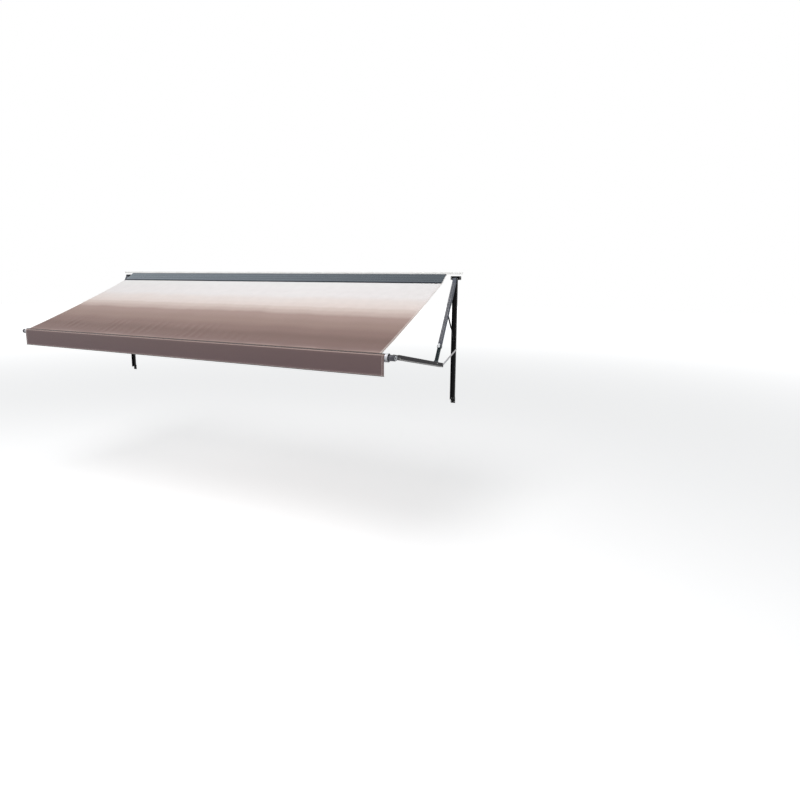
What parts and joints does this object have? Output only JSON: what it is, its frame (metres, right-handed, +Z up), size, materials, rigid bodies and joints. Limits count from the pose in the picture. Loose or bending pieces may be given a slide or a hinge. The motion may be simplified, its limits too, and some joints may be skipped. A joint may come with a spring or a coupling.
{
  "type": "roll out awning",
  "caption": "Wall mounted roll out awning: folding arms in wall channels carry a motor driven roller with a fabric canopy, weather shield and valance.",
  "frame": {"origin": "middle of the awning rail's back face, on the wall", "axes": "+X along the wall to the right seen from outside, +Y into the wall, +Z up; the awning opens towards -Y"},
  "size_m": [5.654, 1.7243, 1.567],
  "materials": {
    "rail": "satin",
    "channel": "satin",
    "upper_arm": "satin",
    "inner_arm": "satin",
    "lower_arm": "satin",
    "casting": "matte",
    "head": "satin",
    "collar": "satin",
    "link": "satin",
    "steel": "satin",
    "fabric": "matte",
    "valance_fabric": "matte",
    "shield": "satin",
    "cap": "satin",
    "tube": "satin",
    "black_plastic": "matte",
    "strut_black": "gloss",
    "rod": "polished"
  },
  "bodies": {
    "root": {"awning_rail": "rail", "rail_end_caps": "rail", "channel_rivets": "steel", "shoulder_pins": "steel", "shoulder_washers": "steel", "link_wall_pins": "steel", "strut_wall_pins": "steel", "canopy_bead": "fabric", "canopy": "fabric", "weather_shield": "shield", "left_wall_channel": "channel", "left_top_bracket": "channel", "left_foot_bracket": "channel", "left_strut_bracket": "channel", "right_wall_channel": "channel", "right_top_bracket": "channel", "right_foot_bracket": "channel", "right_strut_bracket": "channel"},
    "left_upper": {"left_upper_arm": "upper_arm", "left_inner_arm": "inner_arm", "left_elbow_casting": "casting", "left_pitch_clamp": "casting", "left_strut_studs": "steel"},
    "left_lower": {"left_lower_arm": "lower_arm", "left_elbow_pin": "steel", "left_elbow_washers": "steel", "left_arm_head": "head", "left_head_screws": "steel", "tube_motor": "steel", "motor_cable_gland": "black_plastic"},
    "left_knob": {"left_clamp_knob": "collar"},
    "left_link": {"left_control_link": "link"},
    "left_cylinder": {"left_strut_cylinder": "strut_black"},
    "left_rod": {"left_strut_rod": "rod"},
    "right_upper": {"right_upper_arm": "upper_arm", "right_inner_arm": "inner_arm", "right_elbow_casting": "casting", "right_pitch_clamp": "casting", "right_strut_studs": "steel"},
    "right_lower": {"right_lower_arm": "lower_arm", "right_elbow_pin": "steel", "right_elbow_washers": "steel", "right_arm_head": "head", "right_head_screws": "steel", "idler_shaft": "steel"},
    "right_knob": {"right_clamp_knob": "collar"},
    "right_link": {"right_control_link": "link"},
    "right_cylinder": {"right_strut_cylinder": "strut_black"},
    "right_rod": {"right_strut_rod": "rod"},
    "roller": {"roller_tube": "tube", "fabric_roll": "fabric", "left_roller_cap": "cap", "right_roller_cap": "cap", "motor_crown": "black_plastic", "drive_wheel": "black_plastic", "idler_bearing": "steel"},
    "valance": {"valance": "valance_fabric", "valance_hem_rod": "black_plastic"}
  },
  "joints": [
    {"name": "left_shoulder", "type": "hinge", "parent": "root", "child": "left_upper", "pos_m": [-2.743, -0.032, -0.07], "axis": [1, 0, 0], "range_deg": [0, 31.21]},
    {"name": "left_elbow", "type": "hinge", "parent": "left_upper", "child": "left_lower", "pos_m": [-2.743, -0.61803, -0.9894], "axis": [-1, 0, 0], "range_deg": [0, 110.2], "deforming": ["canopy", "weather_shield"]},
    {"name": "left_link_pivot", "type": "hinge", "parent": "root", "child": "left_link", "pos_m": [-2.743, -0.025, -0.89635], "axis": [1, 0, 0], "range_deg": [0, 69.13]},
    {"name": "left_strut_pivot", "type": "hinge", "parent": "root", "child": "left_rod", "pos_m": [-2.743, -0.022, -0.792], "axis": [-1, 0, 0], "range_deg": [0, 32.17]},
    {"name": "left_strut_stroke", "type": "slide", "parent": "left_rod", "child": "left_cylinder", "axis": [0, 0.5617, -0.8274], "range_m": [0, 0.13588]},
    {"name": "left_knob_turn", "type": "hinge", "parent": "left_upper", "child": "left_knob", "pos_m": [-2.743, -0.50153, -0.8086], "axis": [0, -0.8554, 0.518], "range_deg": [0, 720]},
    {"name": "right_shoulder", "type": "hinge", "parent": "root", "child": "right_upper", "pos_m": [2.743, -0.032, -0.07], "axis": [1, 0, 0], "range_deg": [0, 31.21]},
    {"name": "right_elbow", "type": "hinge", "parent": "right_upper", "child": "right_lower", "pos_m": [2.743, -0.61803, -0.9894], "axis": [-1, 0, 0], "range_deg": [0, 110.21]},
    {"name": "right_link_pivot", "type": "hinge", "parent": "root", "child": "right_link", "pos_m": [2.743, -0.025, -0.89635], "axis": [1, 0, 0], "range_deg": [0, 69.13]},
    {"name": "right_strut_pivot", "type": "hinge", "parent": "root", "child": "right_rod", "pos_m": [2.743, -0.022, -0.792], "axis": [-1, 0, 0], "range_deg": [0, 32.17]},
    {"name": "right_strut_stroke", "type": "slide", "parent": "right_rod", "child": "right_cylinder", "axis": [0, 0.5617, -0.8274], "range_m": [0, 0.13588]},
    {"name": "right_knob_turn", "type": "hinge", "parent": "right_upper", "child": "right_knob", "pos_m": [2.743, -0.50153, -0.8086], "axis": [0, -0.8554, 0.518], "range_deg": [0, 720]},
    {"name": "roller_spin", "type": "hinge", "parent": "left_lower", "child": "roller", "pos_m": [0, -1.67454, -0.80644], "axis": [1, 0, 0], "range_deg": [0, 2275.1]},
    {"name": "valance_hang", "type": "hinge", "parent": "left_lower", "child": "valance", "pos_m": [0, -1.67454, -0.80644], "axis": [1, 0, 0], "range_deg": [0, 79.05]}
  ],
  "couplings": [
    {"joint": "left_shoulder", "follows": "left_elbow", "ratio": 0.28312},
    {"joint": "left_link_pivot", "follows": "left_elbow", "ratio": 0.62723},
    {"joint": "left_strut_pivot", "follows": "left_elbow", "ratio": 0.29184},
    {"joint": "left_strut_stroke", "follows": "left_elbow", "m_per_rad": 0.070545},
    {"joint": "right_shoulder", "follows": "left_elbow", "ratio": 0.28312},
    {"joint": "right_elbow", "follows": "left_elbow", "ratio": 1},
    {"joint": "right_link_pivot", "follows": "left_elbow", "ratio": 0.62723},
    {"joint": "right_strut_pivot", "follows": "left_elbow", "ratio": 0.29184},
    {"joint": "right_strut_stroke", "follows": "left_elbow", "m_per_rad": 0.070545},
    {"joint": "roller_spin", "follows": "left_elbow", "ratio": 20.644},
    {"joint": "valance_hang", "follows": "left_elbow", "ratio": 0.71688}
  ]
}
